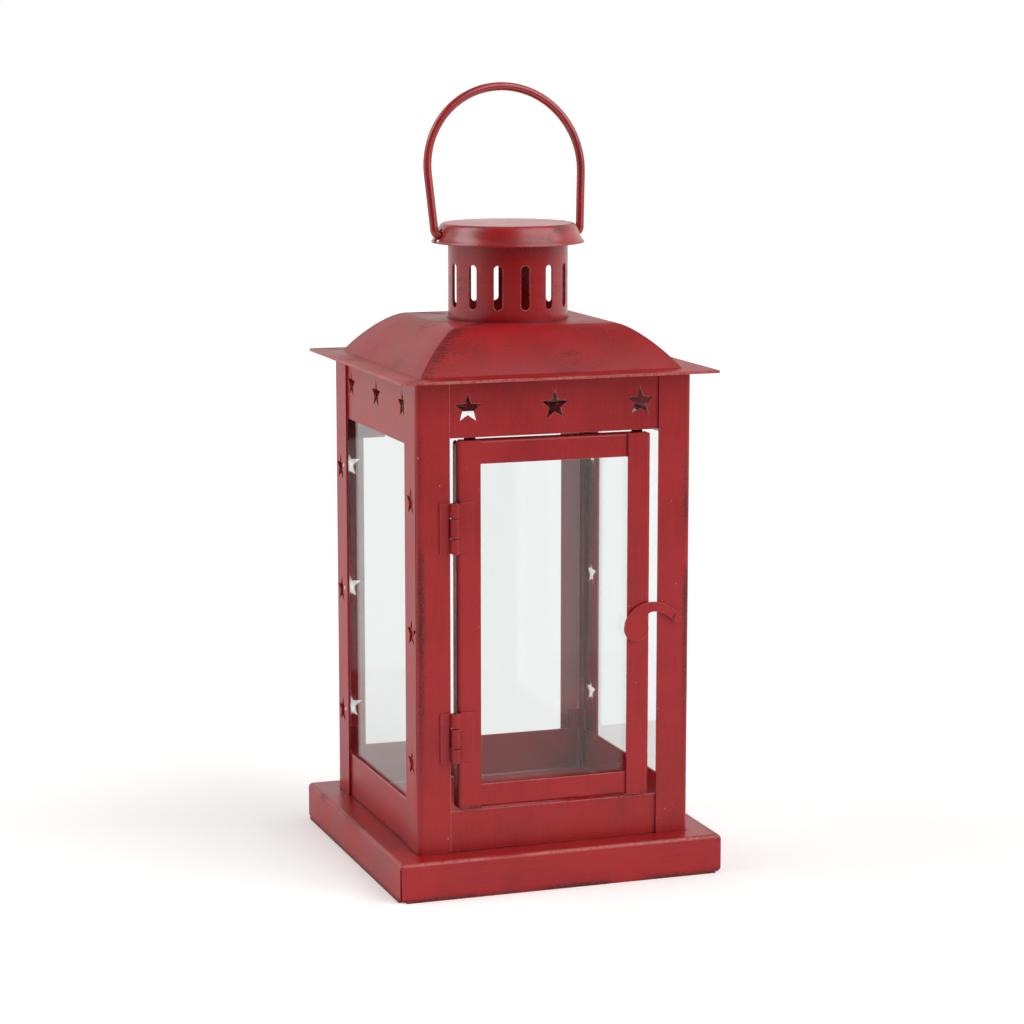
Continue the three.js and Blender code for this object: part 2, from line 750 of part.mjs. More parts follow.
function doorClip(edge, sx, z) {
  const wall = edge + sx * sheet;
  const toe = wall + sx * doorClipReach;
  const shape = outline([
    [wall, -railInner], [wall + sx * clipSheet, -railInner], [wall + sx * clipSheet, -clipFace],
    [toe, -clipFace], [toe, -clipFace + clipSheet], [wall, -clipFace + clipSheet],
  ]);
  return upright(shape, z - doorClipHeight / 2, z + doorClipHeight / 2);
}

for (const [sideName, edge, sx] of [['left', doorLeft, 1], ['right', doorRight, -1]]) {
  add(`door_clip_${sideName}_lower`, doorClip(edge, sx, doorBottom + doorClipInset), redPaint());
  add(`door_clip_${sideName}_upper`, doorClip(edge, sx, doorTop - doorClipInset), redPaint());
}

// Latch: a comma-shaped plate; the round head laps the door stile and the tail turns on its rivet
function latchPlate() {
  const headX = -latchReach;
  const headZ = -latchHeadDrop;
  const crownX = -0.62 * latchReach;
  const under = latchArchRise - latchArchBand;
  const headLeft = headX - latchHeadRadius;
  const tail = latchTailRadius;
  const shape = new THREE.Shape();
  shape.moveTo(headLeft, headZ);
  shape.bezierCurveTo(headLeft, headZ + 5.4, crownX - 5.6, latchArchRise, crownX, latchArchRise);
  shape.bezierCurveTo(crownX + 4.4, latchArchRise, -1.9, 3.9, tail * Math.cos(0.97), tail * Math.sin(0.97));
  shape.absarc(0, 0, tail, 0.97, -2.18, true);
  shape.bezierCurveTo(-2.6, 0.5, crownX + 4.2, under, crownX + 0.8, under);
  shape.bezierCurveTo(crownX - 0.8, under, crownX - 1.9, under - 0.8, crownX - 1.9, under - 2.3);
  shape.absarc(headX, headZ, latchHeadRadius, 0.43, -Math.PI, true);
  const plate = facing(shape, latchFront, latchBack, 6).translate(latchX, 0, latchZ);
  return cut(plate, [frontRod(latchX, latchZ, rivetRadius + pinFit, latchFront - 1, latchBack + 1, 16)]);
}

add('latch_hook', latchPlate(), redPaint());

function latchRivet() {
  const slack = looseFit / 2;
  const postBack = bodyHalf - sheet;
  const headBack = -latchFront + slack;
  const profile = [
    [0, postBack - rivetTailHeight], [rivetTailRadius, postBack - rivetTailHeight], [rivetTailRadius, postBack],
    [rivetRadius, postBack], [rivetRadius, headBack], [rivetHeadRadius, headBack],
    [rivetHeadRadius, headBack + rivetHeadHeight], [0, headBack + rivetHeadHeight],
  ];
  const rivet = new THREE.LatheGeometry(profile.map(([r, h]) => new THREE.Vector2(r, h)), 16);
  return rivet.applyMatrix4(new THREE.Matrix4().set(-1, 0, 0, 0, 0, -1, 0, 0, 0, 0, 1, 0, 0, 0, 0, 1))
    .translate(latchX, 0, latchZ);
}

add('latch_rivet', latchRivet(), redPaint());

// Bail: one wire, hooked through cap and chimney at each end, with splayed legs and an arch, leaning back
class WirePath extends THREE.Curve {
  constructor(path) {
    super();
    this.path = path;
  }

  getPoint(t) {
    const point = this.path.getPoint(t);
    return new THREE.Vector3(point.x, 0, point.y);
  }
}

function bailWire() {
  const pivotDepth = capTop - bailPivot;
  const wallAtPivot = capWallRadius(pivotDepth);
  const legX = wallAtPivot + bailLegGap;
  const bendX = legX - bailBend;
  const archZ = bailPivot + bailRise - bailArchRadius;
  const climb = archZ - bailPivot - bailBend;
  const splay = Math.asin((bailArchRadius - bailBend) / Math.hypot(bendX, climb)) - Math.atan2(bendX, climb);
  const endX = chimneyRadius - sheet - bailTongue;
  const path = new THREE.Path();
  path.moveTo(endX, bailPivot);
  path.lineTo(bendX, bailPivot);
  path.absarc(bendX, bailPivot + bailBend, bailBend, -quarter, -splay, false);
  path.lineTo(bailArchRadius * Math.cos(splay), archZ - bailArchRadius * Math.sin(splay));
  path.absarc(0, archZ, bailArchRadius, -splay, Math.PI + splay, false);
  path.lineTo(-bendX - bailBend * Math.cos(splay), bailPivot + bailBend * (1 - Math.sin(splay)));
  path.absarc(-bendX, bailPivot + bailBend, bailBend, Math.PI + splay, 3 * quarter, false);
  path.lineTo(-endX, bailPivot);
  const section = new THREE.Shape();
  section.absarc(0, 0, wireRadius, 0, 2 * Math.PI, false);
  const wire = new THREE.ExtrudeGeometry(section, {
    extrudePath: new WirePath(path), steps: 76, curveSegments: 5, bevelEnabled: false,
  });
  return wire.translate(0, 0, -bailPivot).rotateX(-bailLean).translate(0, 0, bailPivot);
}

// Outer radius of the cap wall at a depth below the cap top
function capWallRadius(depth) {
  const points = capWall.getPoints(40);
  const level = capTop - depth;
  const below = points.findIndex((point) => point.y <= level);
  const a = points[below - 1];
  const b = points[below];
  return a.x + (b.x - a.x) * (a.y - level) / (a.y - b.y);
}

add('bail_handle', bailWire(), redPaint());

export default lantern;
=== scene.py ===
# %% [markdown]
# # Red metal candle lantern
#
# A garden lantern of folded sheet steel, painted satin red and dry-brushed with black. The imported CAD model
# is loaded as a fixed frame, so every piece already has its place. This lesson gives the pieces what the eye
# expects of them: soft folds and cut edges, a pressed roof, a pierced chimney, worn paint and real glass.

# %% Load the frame
import json
import math

import bmesh
import bpy
from mathutils import Matrix, Vector
from mathutils.geometry import interpolate_bezier

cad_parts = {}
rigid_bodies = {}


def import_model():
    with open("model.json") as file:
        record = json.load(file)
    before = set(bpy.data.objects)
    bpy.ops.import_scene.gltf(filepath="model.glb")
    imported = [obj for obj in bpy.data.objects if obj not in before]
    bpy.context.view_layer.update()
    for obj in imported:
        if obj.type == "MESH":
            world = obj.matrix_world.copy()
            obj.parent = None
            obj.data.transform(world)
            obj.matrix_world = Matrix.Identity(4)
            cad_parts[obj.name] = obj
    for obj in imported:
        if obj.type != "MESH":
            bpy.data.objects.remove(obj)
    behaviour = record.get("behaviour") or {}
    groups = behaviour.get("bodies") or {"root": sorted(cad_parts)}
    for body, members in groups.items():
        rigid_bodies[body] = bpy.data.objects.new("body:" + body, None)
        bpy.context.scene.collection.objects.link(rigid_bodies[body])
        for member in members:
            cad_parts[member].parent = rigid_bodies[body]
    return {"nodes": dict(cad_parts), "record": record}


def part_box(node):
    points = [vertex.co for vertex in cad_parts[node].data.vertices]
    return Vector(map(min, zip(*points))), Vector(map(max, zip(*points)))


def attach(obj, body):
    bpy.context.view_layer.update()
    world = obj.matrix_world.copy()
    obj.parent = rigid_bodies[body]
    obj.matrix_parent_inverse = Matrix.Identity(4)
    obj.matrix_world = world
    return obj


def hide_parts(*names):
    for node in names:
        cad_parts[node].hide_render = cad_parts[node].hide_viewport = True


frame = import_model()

mm = 0.001
scene = bpy.context.scene
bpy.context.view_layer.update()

# %% [markdown]
# ## Camera
#
# The photograph looks at the lantern's front left corner from a little above, with a long lens, so the sides
# hardly taper. A camera can be placed by eye, but here its place and lens were worked out from the corners of
# the base and the cage, so that the render and the photograph can be laid over each other.

# %% Camera
camera_place = Vector((-343.84, -990.36, 297.98)) * mm
camera_target = Vector((1.53, -0.1, 124.52)) * mm
film_width = 36.0
photo_pixels, focal_pixels = 1024, 2924.3

camera = bpy.data.objects.new("camera", bpy.data.cameras.new("camera"))
camera.data.sensor_width = film_width
camera.data.lens = focal_pixels / photo_pixels * film_width
aim = (camera_target - camera_place).to_track_quat("-Z", "Y").to_matrix().to_4x4()
camera.matrix_world = Matrix.Translation(camera_place) @ aim
scene.collection.objects.link(camera)
scene.camera = camera
print("camera: lens", round(camera.data.lens, 1), "mm")

# %% [markdown]
# ## Nodes and colours
#
# Every material below is a small tree of nodes. They can be laid out by hand in the editor, but here one
# function adds a node, sets its options and fills its sockets, with a number, a colour or the output of
# another node, so that a tree can be read from top to bottom. Colours are written as they look on a screen,
# and a second function turns them into the linear values that light is reckoned in.

# %% Helpers for nodes and colours
# A Mix node has sockets of the same names for numbers and for colours, so they are told apart by their order.
FACTOR, FIRST_VALUE, SECOND_VALUE, FIRST_COLOUR, SECOND_COLOUR = 0, 2, 3, 6, 7


def add(tree, kind, sockets=(), **options):
    """Adds a node with its options and sockets, and gives back its first output in use. kind is the node's
    type without ShaderNode in front, and sockets are filled by name, or in their order from a list."""
    node = tree.nodes.new("ShaderNode" + kind)
    for name, value in options.items():
        setattr(node, name, value)
    filled = sockets.items() if isinstance(sockets, dict) else enumerate(sockets)
    for name, value in filled:
        if isinstance(value, bpy.types.NodeSocket):
            tree.links.new(value, node.inputs[name])
        else:
            node.inputs[name].default_value = value
    return next((output for output in node.outputs if output.enabled), None)


def linear(colour):
    """An sRGB hex colour as linear red, green, blue and alpha."""
    parts = [int(colour[start:start + 2], 16) / 255 for start in (1, 3, 5)]
    return [c / 12.92 if c <= 0.04045 else ((c + 0.055) / 1.055) ** 2.4 for c in parts] + [1.0]


def new_material(name):
    """A material with an empty tree."""
    material = bpy.data.materials.new(name)
    material.use_nodes = True
    material.node_tree.nodes.clear()
    return material


print("a middle grey in linear light:", round(linear("#808080")[0], 3))

# %% [markdown]
# ## Studio
#
# The lantern stands on a white table in front of a white wall, and the side of the room that the camera is in
# is dark. A ring of lamps could light it, but then the satin paint would mirror them all over. Two soft boxes
# do it here: one high on the right in front, and one high on the left. They draw the two soft highlights on
# the round cap, and the thin ones on every bend. The world adds the light that the white wall and table give,
# and shows paint and glass a white wall behind and a dark room in front.

# %% World
room_light, overhead, dark_front = 0.95, 0.35, 0.06
camera_side_light = 0.08 * room_light
warm_white, plain_white = (1.0, 0.99, 0.975, 1.0), (1.0, 1.0, 1.0, 1.0)
camera_side = (camera_place - camera_target).normalized()

world = bpy.data.worlds.new("white_room")
scene.world = world
world.use_nodes = True
tree = world.node_tree
tree.nodes.clear()
rays = add(tree, "LightPath").node.outputs
towards = add(tree, "TexCoord").node.outputs["Generated"]
axes = add(tree, "SeparateXYZ", [towards]).node.outputs
ahead = add(tree, "VectorMath", [towards, camera_side], operation="DOT_PRODUCT").node.outputs["Value"]
lower = add(tree, "MapRange", {"Value": axes["Z"], "From Min": 0.2, "From Max": 0.8, "To Min": 1.0,
                               "To Max": overhead}, interpolation_type="SMOOTHSTEP")
dim = add(tree, "MapRange", {"Value": ahead, "From Min": 0.3, "From Max": 0.95, "To Min": room_light,
                             "To Max": camera_side_light}, interpolation_type="SMOOTHSTEP")
wall = add(tree, "MapRange", {"Value": axes["Y"], "From Min": -0.45, "From Max": 0.1, "To Min": dark_front,
                              "To Max": 1.0}, interpolation_type="SMOOTHSTEP")
soft = add(tree, "Math", [lower, dim], operation="MULTIPLY")
mirrored = add(tree, "Math", [wall, lower], operation="MULTIPLY")
off_mirror = add(tree, "Math", [rays["Glossy Depth"], 0.5], operation="GREATER_THAN")
light = add(tree, "Mix", {FACTOR: off_mirror, FIRST_VALUE: soft, SECOND_VALUE: mirrored})
seen = add(tree, "Math", [rays["Is Camera Ray"], rays["Is Transmission Ray"]], operation="MAXIMUM")
seen = add(tree, "Math", [seen, off_mirror], operation="SUBTRACT", use_clamp=True)
level = add(tree, "Mix", {FACTOR: seen, FIRST_VALUE: light, SECOND_VALUE: 1.0})
shade = add(tree, "Mix", {FACTOR: seen, FIRST_COLOUR: warm_white, SECOND_COLOUR: plain_white},
            data_type="RGBA")
background = add(tree, "Background", {"Color": shade, "Strength": level})
add(tree, "OutputWorld", {"Surface": background})
scene.view_settings.view_transform = "Standard"
print("world: soft light of", room_light)

# %% Soft boxes
soft_boxes = (("soft_box_right", Vector((0.55, -0.57, 0.61)), 1.75, 60.0),
              ("soft_box_left", Vector((-0.73, 0.18, 0.66)), 0.8, 35.0))
for name, towards, strength, angle in soft_boxes:
    box = bpy.data.objects.new(name, bpy.data.lights.new(name, "SUN"))
    box.data.energy = strength
    box.data.angle = math.radians(angle)
    box.matrix_world = (-towards).to_track_quat("-Z", "Y").to_matrix().to_4x4()
    scene.collection.objects.link(box)
    print("lamp:", name, strength, "W/m2")

# %% Floor
# Matt white paint on a table. It hardly mirrors, and a broad soft grain makes it a little more or less dull.
floor_colour = "#fbfbfa"
floor_half, floor_front = 4.0, 1.08
floor_glow, glow_behind_glass = 0.27, 0.12
floor_grain = 120 * mm

material = new_material("white_table")
tree = material.node_tree
rays = add(tree, "LightPath").node.outputs
behind = add(tree, "Math", [rays["Is Transmission Ray"], glow_behind_glass], operation="MULTIPLY")
glow = add(tree, "Math", [rays["Is Camera Ray"], floor_glow, behind], operation="MULTIPLY_ADD")
place = add(tree, "TexCoord").node.outputs["Object"]
grain = add(tree, "TexNoise", {"Vector": place, "Scale": 1 / floor_grain, "Detail": 2.0})
roughness = add(tree, "MapRange", {"Value": grain, "To Min": 0.85, "To Max": 0.95})
shader = add(tree, "BsdfPrincipled", {
    "Base Color": linear(floor_colour), "Roughness": roughness, "Specular IOR Level": 0.1,
    "Emission Color": plain_white, "Emission Strength": glow})
add(tree, "OutputMaterial", {"Surface": shader})

bm = bmesh.new()
bmesh.ops.create_grid(bm, x_segments=4, y_segments=4, size=floor_half)
bmesh.ops.translate(bm, verts=bm.verts, vec=(0, floor_half - floor_front, 0))
mesh = bpy.data.meshes.new("floor")
bm.to_mesh(mesh)
bm.free()
mesh.materials.append(material)
floor = bpy.data.objects.new("floor", mesh)
scene.collection.objects.link(floor)
print("floor: one pale sheet,", floor_colour)

# %% [markdown]
# ## Satin red enamel
#
# The steel is sprayed with a satin red enamel, then a nearly dry brush of black is dragged over folds, hips
# and lower edges, and the cut edges are worn pale by rubbing. A plain red with some gloss would look like
# plastic. So the paint gets a cloudy tone, fine brush lines, black that catches only where the brush reached,
# pale worn edges and a few pale specks of dust in the paint. The same black also paints shade where parts
# meet and below the chimney's cap, and the pale of the edges also paints the highlights that edges and bends
# catch.
# The chimney, the cap and the wire are smoother and mirror more than the flat sheet. Patterns are laid on
# Object coordinates, in millimetres.

# %% Red and its specks
# The grit of a sprayed coat is finer than this. It is drawn this coarse, so that it shows in the render.
grit_size = 0.8
cloud_size, speck_gap = 22.0, 7.0
cloud_share, line_share, grit_share = 0.4, 0.25, 0.35
# The black here also paints shade, and the pale pink also paints the highlights on edges and bends.
RED, DEEP_RED, BLACK_BRUSH_AND_SHADE, RUBBED_AND_HIGHLIGHT, SPECK = "#b01c21", "#95141b", "#2a0d0e", "#d08a82", "#e0bdb6"


def clouded_red(tree, cloud, lines, grit):
    """The red, deeper and lighter with clouds, brush lines and grit."""
    tone = add(tree, "Math", [cloud, cloud_share], operation="MULTIPLY")
    tone = add(tree, "Math", [lines, line_share, tone], operation="MULTIPLY_ADD")
    tone = add(tree, "Math", [grit, grit_share, tone], operation="MULTIPLY_ADD")
    tone = add(tree, "MapRange", {"Value": tone, "From Min": 0.37, "From Max": 0.54})
    return add(tree, "Mix", {FACTOR: tone, FIRST_COLOUR: linear(DEEP_RED), SECOND_COLOUR: linear(RED)},
               data_type="RGBA")


def specked(tree, place, colour, strength):
    """A colour with a few pale specks of dust."""
    cells = add(tree, "TexVoronoi", {"Vector": place, "Scale": 1 / speck_gap}).node.outputs
    few = add(tree, "Math", [cells["Color"], 0.6], operation="GREATER_THAN")
    few = add(tree, "Math", [few, strength], operation="MULTIPLY")
    speck = add(tree, "MapRange", {"Value": cells["Distance"], "From Min": 0.05, "From Max": 0.025,
                                   "To Max": few})
    return add(tree, "Mix", {FACTOR: speck, FIRST_COLOUR: colour, SECOND_COLOUR: linear(SPECK)},
               data_type="RGBA")


print("red in linear light:", [round(part, 3) for part in linear(RED)])

# %% The enamel, its wear, and its painted shade and highlights
black_from, black_full, black_most = 0.9, 1.7, 0.85
rubbed_and_highlight_most, black_dulls = 0.75, 0.2
relief_strength, relief_depth = 0.2, 0.06 * mm


def red_enamel(name, brush, black_and_shade_reach, rub_and_highlight_reach=None, specks=0.0, gloss=0.32, shine=0.5, ragged=0.5):
    """Satin enamel. brush is the length of a brush line along x, y and z in millimetres. The third argument
    gives how much black a place takes, from 0 to 1: where the dry brush reached, and on some pieces painted
    shade. The fourth gives where it turns pale besides its cut edges. Both are pale from wear and from a
    painted highlight.
    gloss is its roughness, shine how strongly it mirrors, ragged how much grit breaks the lines."""
    material = new_material(name)
    tree = material.node_tree
    metres = add(tree, "TexCoord").node.outputs["Object"]
    place = add(tree, "VectorMath", {0: metres, "Scale": 1 / mm}, operation="SCALE")
    x, y, z = add(tree, "SeparateXYZ", [place]).node.outputs
    along = add(tree, "VectorMath", [place, [1 / length for length in brush]], operation="MULTIPLY")
    cloud = add(tree, "TexNoise", {"Vector": place, "Scale": 1 / cloud_size, "Detail": 3.0})
    lines = add(tree, "TexNoise", {"Vector": along, "Scale": 1.0, "Detail": 4.0, "Roughness": 0.6})
    grit = add(tree, "TexNoise", {"Vector": place, "Scale": 1 / grit_size, "Detail": 3.0, "Roughness": 0.7})
    colour = clouded_red(tree, cloud, lines, grit)

    bristle = add(tree, "Math", [grit, ragged], operation="MULTIPLY")
    bristle = add(tree, "Math", [lines, 1 - ragged, bristle], operation="MULTIPLY_ADD")
    bristle = add(tree, "MapRange", {"Value": bristle, "From Min": 0.36, "From Max": 0.62})
    # How much black a place takes: dry brush where the bristles catch, and on some pieces painted shade.
    darkening = add(tree, "Math", [bristle, black_and_shade_reach(tree, x, y, z)], operation="ADD")
    black = add(tree, "MapRange", {"Value": darkening, "From Min": black_from, "From Max": black_full,
                                   "To Max": black_most})
    colour = add(tree, "Mix", {FACTOR: black, FIRST_COLOUR: colour, SECOND_COLOUR: linear(BLACK_BRUSH_AND_SHADE)},
                 data_type="RGBA")

    # Cut edges, and the places the fourth argument gives, turn pale: worn paint, and a painted highlight that
    # edges catch.
    edge = add(tree, "Attribute", attribute_name="cut_edge").node.outputs["Fac"]
    if rub_and_highlight_reach:
        edge = add(tree, "Math", [edge, rub_and_highlight_reach(tree, x, y, z)], operation="MAXIMUM")
    rubbed_and_highlight = add(tree, "Math", [edge, bristle], operation="MULTIPLY")
    rubbed_and_highlight = add(tree, "Math", [rubbed_and_highlight, rubbed_and_highlight_most], operation="MULTIPLY")
    colour = add(tree, "Mix", {FACTOR: rubbed_and_highlight, FIRST_COLOUR: colour, SECOND_COLOUR: linear(RUBBED_AND_HIGHLIGHT)},
                 data_type="RGBA")
    if specks:
        colour = specked(tree, place, colour, specks)

    roughness = add(tree, "MapRange", {"Value": cloud, "From Min": 0.3, "From Max": 0.7,
                                       "To Min": gloss - 0.04, "To Max": gloss + 0.06})
    roughness = add(tree, "Math", [black, black_dulls, roughness], operation="MULTIPLY_ADD")
    relief = add(tree, "Math", [lines, grit], operation="ADD")
    normal = add(tree, "Bump", {"Strength": relief_strength, "Distance": relief_depth, "Height": relief})
    shader = add(tree, "BsdfPrincipled", {"Base Color": colour, "Roughness": roughness, "Normal": normal,
                                          "IOR": 1.5, "Specular IOR Level": shine})
    add(tree, "OutputMaterial", {"Surface": shader})
    print("paint:", name)
    return material


print("enamel: black hides up to", black_most, "of the red, and rubbing up to", rubbed_and_highlight_most)

# %% [markdown]
# ## Where the black brush reached, and where black paints shade
#
# On the real lantern the brush was dragged over what stood out, so no two folds are alike. Painting each
# stroke would take a picture. Instead each kind of piece has a short rule: near which folds and edges the
# brush went, measured from the boxes of the CAD pieces, and broken up by patches of noise, so that it never
# runs evenly. Some rules paint shade in the same black: round the feet of the cage, round the foot of the
# chimney, and below the cap. Each rule can be handed on as the most of the next one, which multiplies the
# two.

# %% Black on the clips and the wire
def patches(tree, x, y, z, size, low, high, most=1.0):
    """The most, a number or an output, in irregular patches of a size in millimetres, and 0 outside them."""
    place = add(tree, "CombineXYZ", [x, y, z])
    noise = add(tree, "TexNoise", {"Vector": place, "Scale": 1 / size, "Detail": 2.0})
    return add(tree, "MapRange", {"Value": noise, "From Min": low, "From Max": high, "To Max": most})


def inside_black(tree, x, y, z):
    """Thin and patchy paint, as on small pieces that the spray hardly reached inside the cage."""
    return patches(tree, x, y, z, size=9.0, low=0.2, high=0.5, most=0.9)


def wire_black(tree, x, y, z):
    """Here and there along the wire."""
    return patches(tree, x, y, z, size=20.0, low=0.5, high=0.68, most=0.5)


clip_paint = red_enamel("red_enamel_clips", (2.0, 2.0, 2.0), inside_black)
wire_paint = red_enamel("red_enamel_wire", (3.0, 0.7, 3.0), wire_black, gloss=0.24, shine=1.0)

# %% Black on the cage and the base, and painted shade at the feet of the cage
cage_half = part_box("post_front_right")[1].x / mm
base_half, base_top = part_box("base_tray")[1].x / mm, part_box("base_tray")[1].z / mm
post_fold, post_middle, cage_foot = cage_half - 1.3, 100.0, cage_half - 0.3
base_bend, bend_height, knock_height = base_half - 0.6, base_top - 0.6, base_top - 0.5


def near(tree, value, line, width, most=1.0):
    """The most, a number or an output, on a line, falling to 0 at a width in millimetres from it."""
    apart = add(tree, "Math", [value, line], operation="SUBTRACT")
    apart = add(tree, "Math", [apart], operation="ABSOLUTE")
    return add(tree, "MapRange", {"Value": apart, "From Min": 0.0, "From Max": width, "To Min": most,
                                  "To Max": 0.0}, interpolation_type="SMOOTHSTEP")


def cage_black(tree, x, y, z):
    """Down the folds of the posts on their broad side, in broken lengths, most of all at half height."""
    across, deep = (add(tree, "Math", [axis], operation="ABSOLUTE") for axis in (x, y))
    fold = near(tree, across, post_fold, width=2.8, most=near(tree, deep, cage_half, width=1.6))
    broken = patches(tree, x, y, z, size=30.0, low=0.34, high=0.5, most=fold)
    return near(tree, z, post_middle, width=110.0, most=broken)


def base_black_and_shade(tree, x, y, z):
    """Along the lower edge, in patches on the bends at the sides, and as painted shade round the feet of the
    cage, where it stands on the base.
    """
    across, deep = (add(tree, "Math", [axis], operation="ABSOLUTE") for axis in (x, y))
    outward = add(tree, "Math", [across, deep], operation="MAXIMUM")
    lower = patches(tree, x, y, z, size=34.0, low=0.32, high=0.44, most=near(tree, z, 0.0, width=3.4))
    bend = near(tree, across, base_bend, width=5.0, most=near(tree, z, bend_height, width=3.0, most=0.8))
    bend = patches(tree, x, y, z, size=24.0, low=0.46, high=0.6, most=bend)
    # Painted shade where the cage stands on the base.
    feet = near(tree, outward, cage_foot, width=2.2, most=0.75)
    reach = add(tree, "Math", [lower, bend], operation="MAXIMUM")
    return add(tree, "Math", [reach, feet], operation="MAXIMUM")


def base_rubbed_and_highlight(tree, x, y, z):
    """Along the front bend of the base: paint knocked pale, and a painted highlight along the bend."""
    bend = near(tree, y, -base_bend, width=1.1, most=near(tree, z, knock_height, width=1.0))
    return patches(tree, x, y, z, size=30.0, low=0.3, high=0.46, most=bend)


cage_paint = red_enamel("red_enamel_cage", (0.9, 0.9, 12.0), cage_black, specks=0.5, ragged=0.75)
base_paint = red_enamel("red_enamel_base", (26.0, 26.0, 0.8), base_black_and_shade, base_rubbed_and_highlight, specks=0.8, ragged=0.7)

# %% Black on the door
door_left, door_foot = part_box("door_stile_left")[0].x / mm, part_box("door_stile_left")[0].z / mm
door_right, door_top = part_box("door_stile_right")[1].x / mm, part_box("door_stile_right")[1].z / mm


def door_black(tree, x, y, z):
    """Round the outer edges of the door frame, most of all below."""
    left = near(tree, x, door_left, width=1.6, most=0.6)
    right = near(tree, x, door_right, width=1.6, most=0.6)
    foot = near(tree, z, door_foot, width=2.6, most=0.9)
    top = near(tree, z, door_top, width=1.4, most=0.5)
    sides = add(tree, "Math", [left, right], operation="MAXIMUM")
    ends = add(tree, "Math", [foot, top], operation="MAXIMUM")
    edges = add(tree, "Math", [sides, ends], operation="MAXIMUM")
    return patches(tree, x, y, z, size=26.0, low=0.38, high=0.54, most=edges)


door_paint = red_enamel("red_enamel_door", (0.9, 0.9, 26.0), door_black, specks=0.3)

# %% Black on the roof, and painted shade round the chimney
chimney_low, chimney_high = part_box("chimney")
flue_line = chimney_high.x / mm - 0.2
hip_side = -2.2


def roof_black_and_shade(tree, x, y, z):
    """Along the hips, most of all on the left, in streaks over the slopes, and as painted shade round the
    chimney's foot.
    """
    across, deep = (add(tree, "Math", [axis], operation="ABSOLUTE") for axis in (x, y))
    off_hip = add(tree, "Math", [across, deep], operation="SUBTRACT")
    left = add(tree, "MapRange", {"Value": x, "From Min": -15.0, "From Max": 15.0, "To Min": 0.8,
                                  "To Max": 0.36})
    hips = near(tree, off_hip, hip_side, width=8.0, most=left)
    hips = patches(tree, x, y, z, size=20.0, low=0.24, high=0.5, most=hips)
    streaks = patches(tree, x, y, z, size=26.0, low=0.4, high=0.66, most=0.48)
    level = add(tree, "CombineXYZ", [x, y])
    outward = add(tree, "VectorMath", [level], operation="LENGTH").node.outputs["Value"]
    # Painted shade in the joint where the chimney stands on the roof.
    foot = near(tree, outward, flue_line, width=1.8, most=0.95)
    reach = add(tree, "Math", [hips, streaks], operation="MAXIMUM")
    return add(tree, "Math", [reach, foot], operation="MAXIMUM")


roof_paint = red_enamel("red_enamel_roof", (12.0, 12.0, 0.3), roof_black_and_shade, specks=0.3, gloss=0.4, shine=0.38,
                        ragged=0.55)

# %% Black and painted shade on the chimney, and black on the cap
cap_low, cap_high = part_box("chimney_cap")
chimney_foot, under_cap = chimney_low.z / mm, cap_low.z / mm - 1.1
under_shoulder, cap_wall = cap_high.z / mm - 1.6, cap_low.z / mm + 1.9


def chimney_black_and_shade(tree, x, y, z):
    """Painted shadow of the cap on the top of the chimney, painted shade at its foot on the roof, and dark
    patches between, partly dirt and partly painted shade.
    """
    # Painted shadow of the cap's brim on the top of the chimney, and painted shade at its foot where it
    # stands on the roof.
    cap_shadow = near(tree, z, under_cap, width=3.0, most=0.4)
    foot = near(tree, z, chimney_foot, width=1.6, most=0.9)
    smudges_and_shade = patches(tree, x, y, z, size=18.0, low=0.3, high=0.62, most=0.45)
    ends = add(tree, "Math", [cap_shadow, foot], operation="MAXIMUM")
    return add(tree, "Math", [ends, smudges_and_shade], operation="MAXIMUM")


def cap_black(tree, x, y, z):
    """Under the shoulder of the cap, in broken lengths, and thinly over its wall."""
    shoulder = near(tree, z, under_shoulder, width=2.6, most=0.95)
    shoulder = patches(tree, x, y, z, size=14.0, low=0.4, high=0.56, most=shoulder)
    wall = near(tree, z, cap_wall, width=4.5, most=0.66)
    wall = patches(tree, x, y, z, size=22.0, low=0.36, high=0.56, most=wall)
    return add(tree, "Math", [shoulder, wall], operation="MAXIMUM")


chimney_paint = red_enamel("red_enamel_chimney", (16.0, 16.0, 0.6), chimney_black_and_shade, gloss=0.2, shine=0.7)
cap_paint = red_enamel("red_enamel_cap", (16.0, 16.0, 0.6), cap_black, gloss=0.28, shine=0.9)

# %% [markdown]
# ## Window glass and pin steel
#
# The panes are plain float glass two millimetres thick, with dull edges where they were cut and ground. A
# see-through colour would show no reflection and no edge, so this is real glass that bends light, very
# slightly grey-green and not quite flat. Lamps would be stopped by it, so it lets their light through to what
# stands behind. The hinge pins are dull mild steel, cut from drawn wire, with fine rings that the turning
# hinge has worn round them.

# %% Glass
wave_size, wave_strength, wave_depth = 40 * mm, 0.02, 0.02 * mm
ground_roughness = 0.6


def window_glass(name):
    """Float glass. It is clear, with a faint wave in what it mirrors, and its ground edges are dull."""
    material = new_material(name)
    tree = material.node_tree
    metres = add(tree, "TexCoord").node.outputs["Object"]
    waves = add(tree, "TexNoise", {"Vector": metres, "Scale": 1 / wave_size, "Detail": 1.0})
    normal = add(tree, "Bump", {"Strength": wave_strength, "Distance": wave_depth, "Height": waves})
    edge = add(tree, "Attribute", attribute_name="cut_edge").node.outputs["Fac"]
    ground = add(tree, "Math", [edge, ground_roughness], operation="MULTIPLY")
    shader = add(tree, "BsdfPrincipled", {"Base Color": linear("#f8fbfb"), "Roughness": ground, "IOR": 1.5,
                                          "Transmission Weight": 1.0, "Normal": normal})
    shadow = add(tree, "LightPath").node.outputs["Is Shadow Ray"]
    clear = add(tree, "BsdfTransparent", {"Color": linear("#f0f4f2")})
    either = add(tree, "MixShader", [shadow, shader, clear])
    add(tree, "OutputMaterial", {"Surface": either})
    print("glass:", name)
    return material


clear_glass = window_glass("clear_float_glass")

